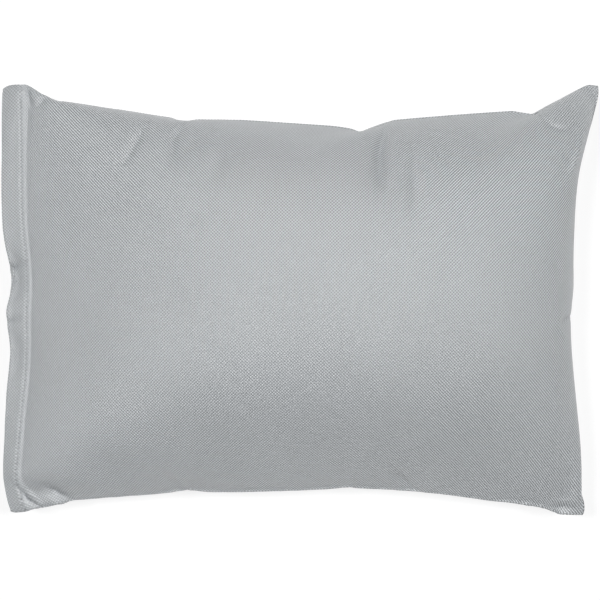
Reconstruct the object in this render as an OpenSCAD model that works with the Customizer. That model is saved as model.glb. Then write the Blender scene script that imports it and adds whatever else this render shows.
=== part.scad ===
// Stuffed camp pillow lying on its back panel, long side along X, front panel facing +Z.
// Three sides are turned seams. The side towards -X is closed by one topstitched row,
// which leaves a flat flange outside it.
// The origin is on the resting surface, below the middle of the pillow.

/* [Cover] */
// Overall length along X, flange included
cover_length = 450; // [400:5:500]
// Overall width along Y, across the tips of the corners
cover_width = 326; // [290:2:360]
// Height of the crown above the resting surface
crown_height = 127; // [112:1:140]
// Height of the seam plane above the resting surface
seam_height = 55; // [48:1:60]
// Thickness of the woven cloth
cloth_thickness = 1.1; // [0.8:0.1:1.3]
// How far the +Y side pulls in midway between its corners
pull_in_top = 30; // [10:1:36]
// How far the -Y side pulls in midway between its corners
pull_in_bottom = 19; // [8:1:30]
// How far the +X side pulls in midway between its corners
pull_in_right = 18; // [6:1:26]
// How far the flange edge pulls in midway between its corners
pull_in_left = 4; // [0:1:8]
// How evenly a side pulls in; larger values keep more of it pulled in
pull_in_power = 2.2; // [1.6:0.1:3.2]
// Size of the blunt tip at each corner
corner_blunt = 6; // [4:1:9]
// How broad the crown is; 2 is a plain arch from seam to seam
crown_power = 2.4; // [1.8:0.1:2.5]
// How steeply the crown rises from its seam; 1 is a plain arch, smaller is steeper
crown_steepness = 0.8; // [0.7:0.05:1]
// How much deeper than the seam height the back panel would bulge if nothing flattened it
back_bulge = 9; // [5:1:12]

/* [Seams] */
// Width of the flat flange outside the closing row
flange_width = 15; // [11:1:18]
// Width of the seam allowance inside the cover
allowance_width = 10; // [8:1:11]
// Diameter of the sewing thread
thread_diameter = 0.6; // [0.4:0.1:0.7]
// Distance from one closing stitch to the next
stitch_pitch = 4; // [3:0.5:6]
// Part of each pitch that the thread covers
stitch_fill = 0.75; // [0.6:0.05:0.85]

/* [Inner bag] */
// Thickness of the needled non-woven cloth
bag_thickness = 1; // [0.9:0.1:1.1]
// Width of the flat edge that the overlock binds
bag_edge = 3; // [2:0.5:3]

/* [Care label] */
// Width of the folded label, across the flange
label_width = 12; // [8:1:14]
// Length of the folded label, along the flange
label_length = 38; // [25:1:60]
// Thickness of the two layers together
label_thickness = 0.5; // [0.3:0.1:0.8]
// Place of the label's middle along Y
label_y = -70; // [-100:5:100]

/* [Resolution] */
// Points along each long side
long_points = 17; // [11:2:17]
// Points along each short side
short_points = 13; // [9:2:13]

/* [Hidden] */
half_length = cover_length / 2;
half_width = cover_width / 2;
ring_count = 2 * (long_points + short_points);
// Ring number of the first point of each side after the +Y side
right_start = long_points;
bottom_start = long_points + short_points;
left_start = 2 * long_points + short_points;

// Gap between the two panels where they lie face to face
face_gap = 0.1;
// Clear space above a seam allowance, which the seam's thread lies in
allowance_room = 0.9;
// The same space in the flange, where the hem lies against its own panel
hem_room = 0.1;
// Clearance between a thread and the cloth it lies on
thread_gap = 0.05;
// Distance from the edge of the cover to the inside of the turned cloth
lip_width = cloth_thickness;
// Distance of the side seam's thread from the inside of the turned cloth
seam_inset = 2.5;
// Distance of the closing row from the start of the flange
closing_inset = 1;
// Closing stitches stop this far from the pillow's corners
closing_end = 6;

// Space between the seam allowance and the inner bag's edge
bag_clear = 2;
bag_inset = allowance_width + bag_clear + bag_edge;
// Clearance between cover and bag, and between bag and fill, at the crown
crown_clear = 2;
// The fill stops this far inside the inner bag's own crown
fill_clear = 7;
fill_inset = bag_inset + fill_clear;

// Width and wall of the overlock on the seam allowances, and wall of the inner bag's
binding_width = 3.5;
binding_wall = 0.4;
bag_binding_wall = 0.3;
// Distance from the open side of the bag's overlock to its crown
bag_binding_clear = bag_thickness + 0.6;

// Full height of each crown over its own level at the seam
front_rise = crown_height - seam_height - face_gap / 2 - 2 * cloth_thickness - allowance_room;
back_drop = seam_height + back_bulge;
bag_front_rise = front_rise - crown_clear;
bag_back_drop = back_drop - crown_clear;
// Height of the bag over the back panel where both lie flat, and of the fill over the bag
bag_lift = 0.8;
fill_lift = 0.8;
// Height of the bag over its own edge, which leaves room for the fill in the corners
bag_room = 0.6;
// Half of the thickness of the fill's edge
fill_edge = 0.2;
fill_front_rise = bag_front_rise - crown_clear;
fill_back_drop = bag_back_drop - crown_clear;
bag_deepest = seam_height - cloth_thickness - bag_lift;
fill_deepest = bag_deepest - bag_thickness - fill_lift;
bag_summit = face_gap / 2 + bag_thickness + bag_room + bag_front_rise;

// Distances from the seam plane to the faces that the threads lie on, and a thread's own
allowance_face = face_gap / 2 + cloth_thickness;
flange_face = face_gap / 2 + 2 * cloth_thickness + hem_room;
thread_lift = thread_diameter / 2 + thread_gap;

// Rings of a panel, as parts of the way from its middle to its seam
panel_rings = [0.13, 0.26, 0.38, 0.51, 0.64, 0.76, 0.87, 0.95, 1];
bag_rings = [0.13, 0.26, 0.38, 0.55, 0.75, 0.9, 1];

cover_color = [0.64, 0.66, 0.68];
thread_color = [0.72, 0.74, 0.76];
bag_color = [0.93, 0.93, 0.91];
fill_color = [0.97, 0.97, 0.96];
label_color = [0.95, 0.95, 0.94];

// Which piece to draw: all of them, or one name from the list above

// ---- outline of the cover ----

// Pull-in of a side at the part t of the way from its middle to its corner
function pull_in(t, most) = most * (1 - pow(min(1, abs(t)), pull_in_power));

// Distance of the edge from the middle, at a place along each side
function side_y(x, most) = half_width - pull_in(x / (half_length - corner_blunt), most);
function side_x(y, most) = half_length - pull_in(y / (half_width - corner_blunt), most);

// Point number k of count points spread evenly from -reach to reach
function spread(k, count, reach) = reach * (2 * k / (count - 1) - 1);

function top_point(x) = [x, side_y(x, pull_in_top)];
function bottom_point(x) = [x, -side_y(x, pull_in_bottom)];
function right_point(y) = [side_x(y, pull_in_right), y];
function left_point(y) = [-side_x(y, pull_in_left), y];

// Edge of the cover, clockwise from its corner at -X +Y
function edge_point(i) =
    i < right_start ? top_point(spread(i, long_points, half_length - corner_blunt)) :
    i < bottom_start ?
        right_point(-spread(i - right_start, short_points, half_width - corner_blunt)) :
    i < left_start ?
        bottom_point(-spread(i - bottom_start, long_points, half_length - corner_blunt)) :
    left_point(spread(i - left_start, short_points, half_width - corner_blunt));

// Start of the crown: inside the turned cloth, and inside the flange at -X
left_scale = (half_length - flange_width) / half_length;
right_scale = (half_length - lip_width) / half_length;
width_scale = (half_width - lip_width) / half_width;
function to_seam(p) = [p.x * (p.x < 0 ? left_scale : right_scale), p.y * width_scale];
function to_edge(p) = [p.x / (p.x < 0 ? left_scale : right_scale), p.y / width_scale];
function seam_point(i) = to_seam(edge_point(i));

// Scales that bring the seam line in by a distance on every side
function inset_scale(d) = [1 - d / (half_length - flange_width), 1 - d / (half_width - lip_width)];
function scaled(p, k) = [p.x * k.x, p.y * k.y];
function inset_point(i, d) = scaled(seam_point(i), inset_scale(d));
function inset_ring(d) = [for (i = [0:ring_count - 1]) inset_point(i, d)];

// ---- crown ----

function arch(t) = pow(max(0, 1 - pow(min(1, abs(t)), crown_power)), crown_steepness);

// Height of the crown at p as a part of its full height, for an outline scaled by k
function crown(p, k) =
    let (q = to_edge([p.x / k.x, p.y / k.y]))
    let (across = abs(q.x) / side_x(q.y, q.x < 0 ? pull_in_left : pull_in_right))
    let (along = abs(q.y) / side_y(q.x, q.y < 0 ? pull_in_bottom : pull_in_top))
    arch(across) * arch(along);

// ---- closed surfaces made of rings ----

function at_height(p, z) = [p.x, p.y, z];
function ring_at(points, z) = [for (p = points) at_height(p, z)];

// Two triangles for each step of the band between ring a and ring b
function band(a, b) = [
    for (i = [0:ring_count - 1])
        let (j = (i + 1) % ring_count)
        let (a0 = a * ring_count + i, a1 = a * ring_count + j)
        let (b0 = b * ring_count + i, b1 = b * ring_count + j)
        each [[a0, b0, a1], [a1, b0, b1]]
];

// A solid whose skin runs from the point first, over the rings, to the point last.
// Seen from outside, the rings follow each other downwards on a clockwise outline.
module ringed_solid(first, rings, last) {
    count = len(rings);
    first_index = count * ring_count;
    points = concat([for (r = rings) each r], [first, last]);
    bands = [for (r = [0:count - 2]) each band(r, r + 1)];
    first_fan = [for (i = [0:ring_count - 1]) [first_index, i, (i + 1) % ring_count]];
    last_ring = (count - 1) * ring_count;
    last_fan = [
        for (i = [0:ring_count - 1])
            [first_index + 1, last_ring + (i + 1) % ring_count, last_ring + i]
    ];
    polyhedron(points = points, faces = concat(first_fan, bands, last_fan));
}

// Rings of a crowned surface from the middle out, at level + rise * crown, cut off at highest
function crown_rings(steps, k, level, rise, highest) = [
    for (s = steps)
        [
            for (i = [0:ring_count - 1])
                let (p = s * scaled(seam_point(i), k))
                at_height(p, min(highest, level(i) + rise * crown(p, k)))
        ]
];

function reversed(list) = [for (i = [len(list) - 1:-1:0]) list[i]];
function lowered(rings, d) = [for (r = rings) [for (p = r) p - [0, 0, d]]];
function turned_over(rings) = reversed([for (r = rings) [for (p = r) [p.x, p.y, -p.z]]]);

// Space above the allowance at ring point i: small in the flange, larger on the other sides
function room(i) = i < left_start ? allowance_room : hem_room;

// Half of the cover, measured away from the seam plane.
// The skin runs over the crown, round the edge, in along the allowance and back inside.
function panel_skin(rise, highest) =
    let (base = face_gap / 2)
    let (level = function(i) base + 2 * cloth_thickness + room(i))
    let (outer = crown_rings(panel_rings, inset_scale(0), level, rise, highest))
    let (edge = [for (i = [0:ring_count - 1]) edge_point(i)])
    let (edge_outer = [
        for (i = [0:ring_count - 1])
            at_height(edge[i], i < left_start ? base + cloth_thickness : level(i))
    ])
    let (hem = inset_ring(allowance_width))
    let (fold = inset_ring(0))
    concat(
        outer,
        [
            edge_outer,
            ring_at(edge, base),
            ring_at(hem, base),
            ring_at(hem, base + cloth_thickness),
            ring_at(fold, base + cloth_thickness)
        ],
        reversed(lowered(outer, cloth_thickness))
    );

// Half of the inner bag, measured away from the seam plane
function bag_skin(rise, highest) =
    let (base = face_gap / 2)
    let (level = function(i) base + bag_thickness + bag_room)
    let (outer = crown_rings(bag_rings, inset_scale(bag_inset), level, rise, highest))
    let (edge = inset_ring(bag_inset - bag_edge))
    let (foot = inset_ring(bag_inset - bag_thickness))
    let (root = inset_ring(bag_inset))
    concat(
        outer,
        [
            ring_at(foot, base + bag_thickness),
            ring_at(edge, base + bag_thickness),
            ring_at(edge, base),
            ring_at(root, base)
        ],
        reversed(lowered(outer, bag_thickness))
    );

// Draws a skin above the seam plane, or below it if side is -1.
// summit is the height of its middle, and wall the cloth's thickness there.
module half(skin, side, summit, wall) {
    rings = side > 0 ? skin : turned_over(skin);
    first_z = side > 0 ? summit : wall - summit;
    last_z = side > 0 ? summit - wall : -summit;
    translate([0, 0, seam_height])
    ringed_solid([0, 0, first_z], rings, [0, 0, last_z]);
}

// ---- threads ----

// A square-sided thread along a path, thin enough to stand for a round one
module thread_along(path, d) {
    count = len(path);
    h = d / 2;
    section = [[h, 0], [0, h], [-h, 0], [0, -h]];
    across = [
        for (i = [0:count - 1])
            let (step = path[min(i + 1, count - 1)] - path[max(i - 1, 0)])
            [-step.y, step.x] / norm([step.x, step.y])
    ];
    points = [
        for (i = [0:count - 1], c = section)
            path[i] + [across[i].x * c.x, across[i].y * c.x, c.y]
    ];
    walls = [
        for (i = [0:count - 2], c = [0:3])
            let (a = i * 4 + c, b = i * 4 + (c + 1) % 4)
            each [[a, a + 4, b], [b, a + 4, b + 4]]
    ];
    end = (count - 1) * 4;
    caps = [[0, 1, 2], [0, 2, 3], [end, end + 2, end + 1], [end, end + 3, end + 2]];
    polyhedron(points = points, faces = concat(walls, caps));
}

// Path of the side seam, from the flange's +Y end round to its -Y end
function side_seam_path(z) = [
    for (i = [1:left_start - 2]) at_height(inset_point(i, seam_inset), z)
];

// Binding round a raw edge: a C-shaped section swept along the edge, from one ring number
// to another or right round. open_at and closed_at are the insets from the seam line of its
// open side and of the raw edge. stack is half the thickness of what it binds.
module binding(from_ring, to_ring, open_at, closed_at, stack, wall, is_loop) {
    turn = closed_at > open_at ? 1 : -1;
    reach = closed_at + turn * wall;
    inset = [reach, open_at, open_at, closed_at, closed_at, open_at, open_at, reach];
    high = stack + wall;
    z = [high, high, stack, stack, -stack, -stack, -high, -high];
    count = to_ring - from_ring + 1;
    points = [
        for (i = [from_ring:to_ring], c = [0:7])
            at_height(inset_point(i, inset[c]), seam_height + z[c])
    ];
    total = 8 * count;
    walls = [
        for (i = [0:(is_loop ? count - 1 : count - 2)], c = [0:7])
            let (d = (c + 1) % 8, a = i * 8, b = (a + 8) % total)
            each [[a + c, b + c, a + d], [a + d, b + c, b + d]]
    ];
    section = [[0, 1, 2], [0, 2, 3], [0, 3, 4], [0, 4, 7], [4, 5, 6], [4, 6, 7]];
    end = total - 8;
    caps = is_loop ? [] : concat(section, [for (f = section) [f[0] + end, f[2] + end, f[1] + end]]);
    faces = concat(walls, caps);
    facing = turn < 0 ? faces : [for (f = faces) [f[0], f[2], f[1]]];
    polyhedron(points = points, faces = facing);
}

// One row of straight stitches lying on a face of the flange
module closing_row(z) {
    reach = half_width * width_scale - closing_end;
    stitches = floor(2 * reach / stitch_pitch);
    for (k = [0:stitches - 1]) {
        y = (k - (stitches - 1) / 2) * stitch_pitch;
        x = to_seam(left_point(y / width_scale)).x - closing_inset;
        translate([x, y, z])
        rotate([90, 0, 0])
        cylinder(h = stitch_pitch * stitch_fill, d = thread_diameter, center = true, $fn = 24);
    }
}

// ---- pieces ----

module front_panel() {
    color(cover_color)
    half(panel_skin(front_rise, crown_height), 1, crown_height - seam_height, cloth_thickness);
}

module back_panel() {
    color(cover_color)
    half(panel_skin(back_drop, seam_height), -1, seam_height, cloth_thickness);
}

module side_seam_needle_thread() {
    color(thread_color)
    thread_along(side_seam_path(seam_height + allowance_face + thread_lift), thread_diameter);
}

module side_seam_bobbin_thread() {
    color(thread_color)
    thread_along(side_seam_path(seam_height - allowance_face - thread_lift), thread_diameter);
}

module overlock_thread() {
    color(thread_color)
    binding(
        1, left_start - 2, allowance_width - binding_width, allowance_width + thread_gap,
        allowance_face + thread_gap, binding_wall, false
    );
}

module closing_needle_thread() {
    color(thread_color)
    closing_row(seam_height + flange_face + thread_lift);
}

module closing_bobbin_thread() {
    color(thread_color)
    closing_row(seam_height - flange_face - thread_lift);
}

module inner_bag_front() {
    color(bag_color)
    half(bag_skin(bag_front_rise, crown_height), 1, bag_summit, bag_thickness);
}

module inner_bag_back() {
    color(bag_color)
    half(bag_skin(bag_back_drop, bag_deepest), -1, bag_deepest, bag_thickness);
}

module inner_bag_thread() {
    color(thread_color)
    binding(
        0, ring_count - 1, bag_inset - bag_binding_clear, bag_inset - bag_edge - thread_gap,
        face_gap / 2 + bag_thickness + thread_gap, bag_binding_wall, true
    );
}

// The stuffing fills the bag from its back to its front
module fibre_fill() {
    k = inset_scale(fill_inset);
    level = function(i) fill_edge;
    front = crown_rings(bag_rings, k, level, fill_front_rise, crown_height);
    back = crown_rings(bag_rings, k, level, fill_back_drop, fill_deepest);
    color(fill_color)
    translate([0, 0, seam_height])
    ringed_solid(
        [0, 0, fill_edge + fill_front_rise],
        concat(front, turned_over(back)),
        [0, 0, -fill_deepest]
    );
}

module care_label() {
    width = min(label_width, flange_width - closing_inset);
    x = -half_length + flange_width - closing_inset - width / 2;
    z = seam_height - flange_face - thread_lift - thread_diameter / 2 - thread_gap;
    color(label_color)
    translate([x, label_y, z - label_thickness / 2])
    cube([width, label_length, label_thickness], center = true);
}

front_panel();
back_panel();
side_seam_needle_thread();
side_seam_bobbin_thread();
overlock_thread();
closing_needle_thread();
closing_bobbin_thread();
inner_bag_front();
inner_bag_back();
inner_bag_thread();
fibre_fill();
care_label();
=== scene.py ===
"""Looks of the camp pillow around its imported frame.

The pillow lies on its back, front panel up, long side along X, closing flange at -X.
Lengths below are in millimetres until a mesh is made.
"""

import math

import bpy
import numpy as np
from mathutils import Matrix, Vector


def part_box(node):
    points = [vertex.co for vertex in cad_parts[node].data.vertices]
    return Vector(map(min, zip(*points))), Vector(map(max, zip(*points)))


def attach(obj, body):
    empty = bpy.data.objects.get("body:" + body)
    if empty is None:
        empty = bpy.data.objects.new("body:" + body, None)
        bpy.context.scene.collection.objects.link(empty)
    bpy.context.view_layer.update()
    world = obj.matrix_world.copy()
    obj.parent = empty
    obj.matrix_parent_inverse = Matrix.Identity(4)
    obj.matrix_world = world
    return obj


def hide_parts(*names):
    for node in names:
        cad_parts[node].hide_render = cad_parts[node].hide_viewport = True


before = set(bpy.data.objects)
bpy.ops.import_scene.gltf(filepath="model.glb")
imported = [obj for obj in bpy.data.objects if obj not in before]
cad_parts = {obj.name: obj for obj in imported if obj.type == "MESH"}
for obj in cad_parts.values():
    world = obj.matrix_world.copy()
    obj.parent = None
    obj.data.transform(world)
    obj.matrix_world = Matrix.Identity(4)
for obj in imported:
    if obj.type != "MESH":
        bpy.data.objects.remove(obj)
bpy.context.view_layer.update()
MM = 0.001

# ---- cloth sizes

CLOTH = (470.0, 327.0)  # finished size of each panel, flange included
CELLS = (120, 88)  # cells of the finest simulated grid
FLANGE_COLUMNS = 4
FLANGE_TOP, FLANGE_BOTTOM = 15.6, 10.2  # the closing row runs slightly askew
SEAM_Z = 54.0  # height of the seam plane over the floor
STITCH = 4.0  # length of a stitch of the closing row
FIRST_HOLE = 9.5  # from the cloth's -Y edge to the first needle hole

# Edge of the cover seen from above, clockwise from the flange's +Y corner.
TOP_EDGE = [
    (-224.6, 159.5), (-220, 163), (-205.7, 163), (-187, 150), (-179, 148.6),
    (-157, 146.3), (-134, 143.3), (-111, 139.5), (-97, 137.4), (-88, 133.5),
    (-80, 135.6), (-75, 136.1), (-43, 135.7), (2, 132.7), (24.5, 131.2),
    (38, 129.3), (48.7, 124.6), (58, 130.2), (69.8, 135.7), (115, 139.5),
    (160, 142.8), (178, 139.4), (187, 143), (198, 151), (208, 158.5), (219, 164.5), (227, 163),
]
RIGHT_EDGE = [
    (227, 163), (227.5, 157), (221.5, 135.7), (214.8, 117.6), (208.8, 99.5),
    (207.4, 90), (206.5, 63), (205.4, 33), (206.5, 9), (203.6, -6), (200.8, -13.7),
    (201.2, -24), (201.8, -36), (205.2, -72.6), (208.4, -109), (210.4, -136),
    (212.5, -146), (215.6, -154), (216.3, -158.5), (214, -162.5),
]
BOTTOM_EDGE = [
    (214, -162.5), (207, -163), (196.7, -163), (187.6, -158.7), (183, -157),
    (160, -153.4), (138, -151), (115, -147.4), (92.5, -145), (68, -143),
    (50, -142.4), (36, -141), (20, -142.8), (2, -143.6), (-43, -145), (-70, -145),
    (-85, -142.8), (-98, -145.4), (-111, -146.6), (-145, -149), (-166, -151),
    (-168, -149.9), (-179, -154), (-202, -158.7), (-215.6, -161.3), (-219.5, -159.5),
]
LEFT_EDGE = [
    (-219.5, -159.5), (-221.5, -154), (-224, -136), (-223, -109), (-221.6, -72.6),
    (-218.4, -38), (-222.4, -9), (-216.3, 15), (-221.6, 36), (-224.6, 54),
    (-225.4, 81), (-224.6, 127), (-224.6, 159.5),
]


def along(points, count):
    """The given number of points, evenly spaced along a polyline."""
    p = np.array(points, float)
    run = np.r_[0, np.cumsum(np.linalg.norm(np.diff(p, axis=0), axis=1))]
    at = np.linspace(0, run[-1], count)
    return np.stack([np.interp(at, run, p[:, k]) for k in (0, 1)], 1)


def flange_width(v):
    """Width of the flange at the height v of the flat cloth."""
    t = np.clip(v / (0.5 * CLOTH[1]), 0, 1)
    return FLANGE_BOTTOM + (FLANGE_TOP - FLANGE_BOTTOM) * t * t * (3 - 2 * t)


def flat_grid(cells):
    """Flat cloth coordinates of every grid point."""
    columns = FLANGE_COLUMNS * cells[0] // CELLS[0]
    i = np.arange(cells[0] + 1.0)[:, None]
    v = np.linspace(0, CLOTH[1], cells[1] + 1)[None]
    w = flange_width(v)
    body = w + (CLOTH[0] - w) * (i - columns) / (cells[0] - columns)
    u = np.where(i <= columns, w * i / columns, body)
    return np.dstack([u, v + 0 * i])


# ---- simulation

HALF_SIZE = (224, 163)  # from the middle of the pillow to the tips of its corners
BIAS_STIFFNESS = 0.35  # the cloth stretches more easily on the bias
EMPTY_TIP = 45  # how far from both edges of a corner the stuffing thins out
WEIGHT = 0.037  # weight of the cloth as a share of the stuffing's pressure
KEPT_SPEED = 0.94  # share of its speed that the cloth keeps from move to move
LEAST_GAP = 1.2  # between the two panels
FLOOR_GAP = 0.6  # from the floor to the middle of the cloth
STEPS_PER_MOVE = 4


def pull(a, b, rest, stiff):
    """Moves the two ends of a set of springs towards their rest length."""
    d = b - a
    size = np.sqrt((d * d).sum(-1, keepdims=True)) + 1e-9
    step = 0.5 * stiff * (size - rest) / size * d
    a += step
    b -= step


def spring_sets(shape):
    """Pairs of slices for the springs of a grid, no point twice in one set."""
    n, m = shape
    whole = slice(None)
    sets = []
    for o in (0, 1):
        ends = (n - o) // 2
        a, b = slice(o, o + 2 * ends, 2), slice(o + 1, o + 1 + 2 * ends, 2)
        sets.append(((a, whole), (b, whole), False))
        sets.append(((a, slice(0, m - 1)), (b, slice(1, m)), True))
        sets.append(((a, slice(1, m)), (b, slice(0, m - 1)), True))
        ends = (m - o) // 2
        a, b = slice(o, o + 2 * ends, 2), slice(o + 1, o + 1 + 2 * ends, 2)
        sets.append(((whole, a), (whole, b), False))
    return sets


def smooth_bend(p, amount):
    """Pulls each point towards the middle of its neighbours along both threads."""
    for q in (p, p.transpose(1, 0, 2)):
        m = 0.5 * (q[2:] + q[:-2]) - q[1:-1]
        q[1:-1] += 0.5 * amount * m
        q[2:] -= 0.25 * amount * m
        q[:-2] -= 0.25 * amount * m


def point_normals(p):
    """Normals at grid points, as long as the area round each point."""
    n = 0.5 * np.cross(p[1:, 1:] - p[:-1, :-1], p[:-1, 1:] - p[1:, :-1])
    out = np.zeros_like(p)
    for a in (slice(None, -1), slice(1, None)):
        for b in (slice(None, -1), slice(1, None)):
            out[a, b] += n / 4
    return out


def unit(v):
    """The vectors scaled to length 1."""
    return v / (np.linalg.norm(v, axis=-1, keepdims=True) + 1e-12)


def edge_targets(cells):
    """Where the edge of the grid lies seen from above, and which points are edge points."""
    nx, ny = cells
    want = np.zeros((nx + 1, ny + 1, 2))
    want[:, -1] = along(TOP_EDGE, nx + 1)
    want[:, 0] = along(BOTTOM_EDGE, nx + 1)[::-1]
    want[-1] = along(RIGHT_EDGE, ny + 1)[::-1]
    want[0] = along(LEFT_EDGE, ny + 1)
    edge = np.zeros((nx + 1, ny + 1), bool)
    edge[[0, -1]] = True
    edge[:, [0, -1]] = True
    return want, edge


def start_sheets(cells):
    """Two flat panels inside the edge, a little apart."""
    want, edge = edge_targets(cells)
    t = np.linspace(0, 1, cells[0] + 1)[:, None, None]
    xy = np.where(edge[..., None], want, (1 - t) * want[:1] + t * want[-1:])
    for _ in range(300):
        m = 0.25 * (xy[2:, 1:-1] + xy[:-2, 1:-1] + xy[1:-1, 2:] + xy[1:-1, :-2])
        xy[1:-1, 1:-1] = m
    bump = 5 * np.sin(np.pi * np.linspace(0, 1, cells[0] + 1))[:, None]
    bump = bump * np.sin(np.pi * np.linspace(0, 1, cells[1] + 1))[None]
    return [np.dstack([xy, SEAM_Z + side * bump]) for side in (1, -1)]


def stuff(cells, sheets, steps, press, bend):
    """Inflates the two panels, sewn at their edge and flange, on a floor at z = 0."""
    flat = flat_grid(cells)
    want, edge = edge_targets(cells)
    columns = FLANGE_COLUMNS * cells[0] // CELLS[0]
    sewn = edge.copy()
    sewn[: columns + 1] = True
    corner_pull = (np.abs(want[..., 0]) / HALF_SIZE[0]) ** 4
    corner_pull = corner_pull * (np.abs(want[..., 1]) / HALF_SIZE[1]) ** 4
    want_z = SEAM_Z - 4 * corner_pull
    springs = []
    for a, b, diagonal in spring_sets(flat.shape[:2]):
        rest = np.linalg.norm(flat[b] - flat[a], axis=-1)[..., None]
        springs.append((a, b, rest, BIAS_STIFFNESS if diagonal else 1.0))
    # no stuffing reaches the tips of the corners or the flange
    w = flange_width(flat[..., 1])
    du = np.minimum(flat[..., 0] - w, CLOTH[0] - flat[..., 0])
    dv = np.minimum(flat[..., 1], CLOTH[1] - flat[..., 1])
    tip = np.hypot(np.maximum(0, EMPTY_TIP - du), np.maximum(0, EMPTY_TIP - dv)) / EMPTY_TIP
    full = np.where(du < 1, 0, 1 - 0.9 * np.clip((tip - 0.75) / 0.5, 0, 1))
    area = CLOTH[0] * CLOTH[1] / (cells[0] * cells[1])
    weight = WEIGHT * press
    speed = [np.zeros_like(p) for p in sheets]
    for _ in range(steps):
        before = [p.copy() for p in sheets]
        for side, p, v in zip((1, -1), sheets, speed):
            v += side * press * full[..., None] * point_normals(p) / area
            v[..., 2] -= weight
            p += v
        for turn in range(STEPS_PER_MOVE):
            for p in sheets:
                for a, b, rest, stiff in springs:
                    pull(p[a], p[b], rest, stiff)
                if turn == 0:
                    smooth_bend(p, bend)
            middle = 0.5 * (sheets[0] + sheets[1])
            for p in sheets:
                p[sewn] = middle[sewn]
                p[edge, :2] += 0.6 * (want[edge] - p[edge, :2])
                p[edge, 2] += 0.01 * (want_z[edge] - p[edge, 2])
            gap = sheets[0][..., 2] - sheets[1][..., 2]
            apart = np.where(sewn, 0, 0.5 * np.clip(LEAST_GAP - gap, 0, None))
            sheets[0][..., 2] += apart
            sheets[1][..., 2] -= apart
            np.maximum(sheets[1][..., 2], FLOOR_GAP, out=sheets[1][..., 2])
        for k in (0, 1):
            speed[k] = KEPT_SPEED * (sheets[k] - before[k])
        # the floor holds what rests on it
        speed[1][sheets[1][..., 2] < FLOOR_GAP + 0.1, :2] *= 0.3
    return sheets


def finer(p):
    """The grid with a point added between each two."""
    a = np.empty((2 * p.shape[0] - 1, p.shape[1], 3))
    a[::2] = p
    a[1::2] = 0.5 * (p[1:] + p[:-1])
    b = np.empty((a.shape[0], 2 * a.shape[1] - 1, 3))
    b[:, ::2] = a
    b[:, 1::2] = 0.5 * (a[:, 1:] + a[:, :-1])
    return b


def stuffed_cover():
    """Front and back panel of the stuffed cover, simulated coarse to fine."""
    quarter = (CELLS[0] // 4, CELLS[1] // 4)
    half = (CELLS[0] // 2, CELLS[1] // 2)
    sheets = stuff(quarter, start_sheets(quarter), 400, 0.06, 0.02)
    sheets = stuff(half, [finer(p) for p in sheets], 300, 0.016, 0.05)
    sheets = [finer(p) for p in sheets]
    return stuff(CELLS, sheets, 200, 0.004, 0.12)


# ---- smooth surfaces


def padded_grid(p):
    """The grid with one extrapolated row more on every side."""
    q = np.concatenate([2 * p[:1] - p[1:2], p, 2 * p[-1:] - p[-2:-1]], 0)
    return np.concatenate([2 * q[:, :1] - q[:, 1:2], q, 2 * q[:, -1:] - q[:, -2:-1]], 1)


def spline_weights(t):
    """Weights of four neighbouring control points a share t past the second."""
    return [
        (1 - t) ** 3 / 6,
        (3 * t**3 - 6 * t**2 + 4) / 6,
        (-3 * t**3 + 3 * t**2 + 3 * t + 1) / 6,
        t**3 / 6,
    ]


class Surface:
    """A smooth surface over a simulated grid, read at flat cloth coordinates."""

    def __init__(self, p):
        # control points that bring the spline back through the simulated ones
        c = p.copy()
        for _ in range(3):
            q = padded_grid(c)
            q = (q[2:] + 4 * q[1:-1] + q[:-2]) / 6
            q = (q[:, 2:] + 4 * q[:, 1:-1] + q[:, :-2]) / 6
            c += p - q
        self.grid = padded_grid(c)

    def index(self, u, v):
        """Place of flat cloth coordinates in the grid, in cells."""
        w = flange_width(v)
        body = (u - w) / (CLOTH[0] - w) * (CELLS[0] - FLANGE_COLUMNS)
        i = np.where(u < w, u / w * FLANGE_COLUMNS, FLANGE_COLUMNS + body)
        return i, v / CLOTH[1] * CELLS[1]

    def at(self, u, v):
        """Points of the surface, creases included."""
        i, j = self.index(u, v)
        i0 = np.clip(np.floor(i), 0, CELLS[0] - 1).astype(int)
        j0 = np.clip(np.floor(j), 0, CELLS[1] - 1).astype(int)
        wi, wj = spline_weights(i - i0), spline_weights(j - j0)
        out = 0
        for a in range(4):
            for b in range(4):
                out = out + (wi[a] * wj[b])[..., None] * self.grid[i0 + a, j0 + b]
        out[..., 2] -= fold_depth(out, CREASES)
        return out

    def normal(self, u, v):
        """Unit normals, even over the narrowest creases."""
        h = 2.0
        du = self.at(u + h, v) - self.at(u - h, v)
        dv = self.at(u, v + h) - self.at(u, v - h)
        return unit(np.cross(du, dv))

    def frame(self, u, v):
        """Outward-pointing units along rising u and v, and the normal."""
        du = unit(self.at(u + 1.5, v) - self.at(u - 1.5, v))
        dv = unit(self.at(u, v + 1.5) - self.at(u, v - 1.5))
        return du, dv, unit(np.cross(du, dv))


# ---- creases

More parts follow.
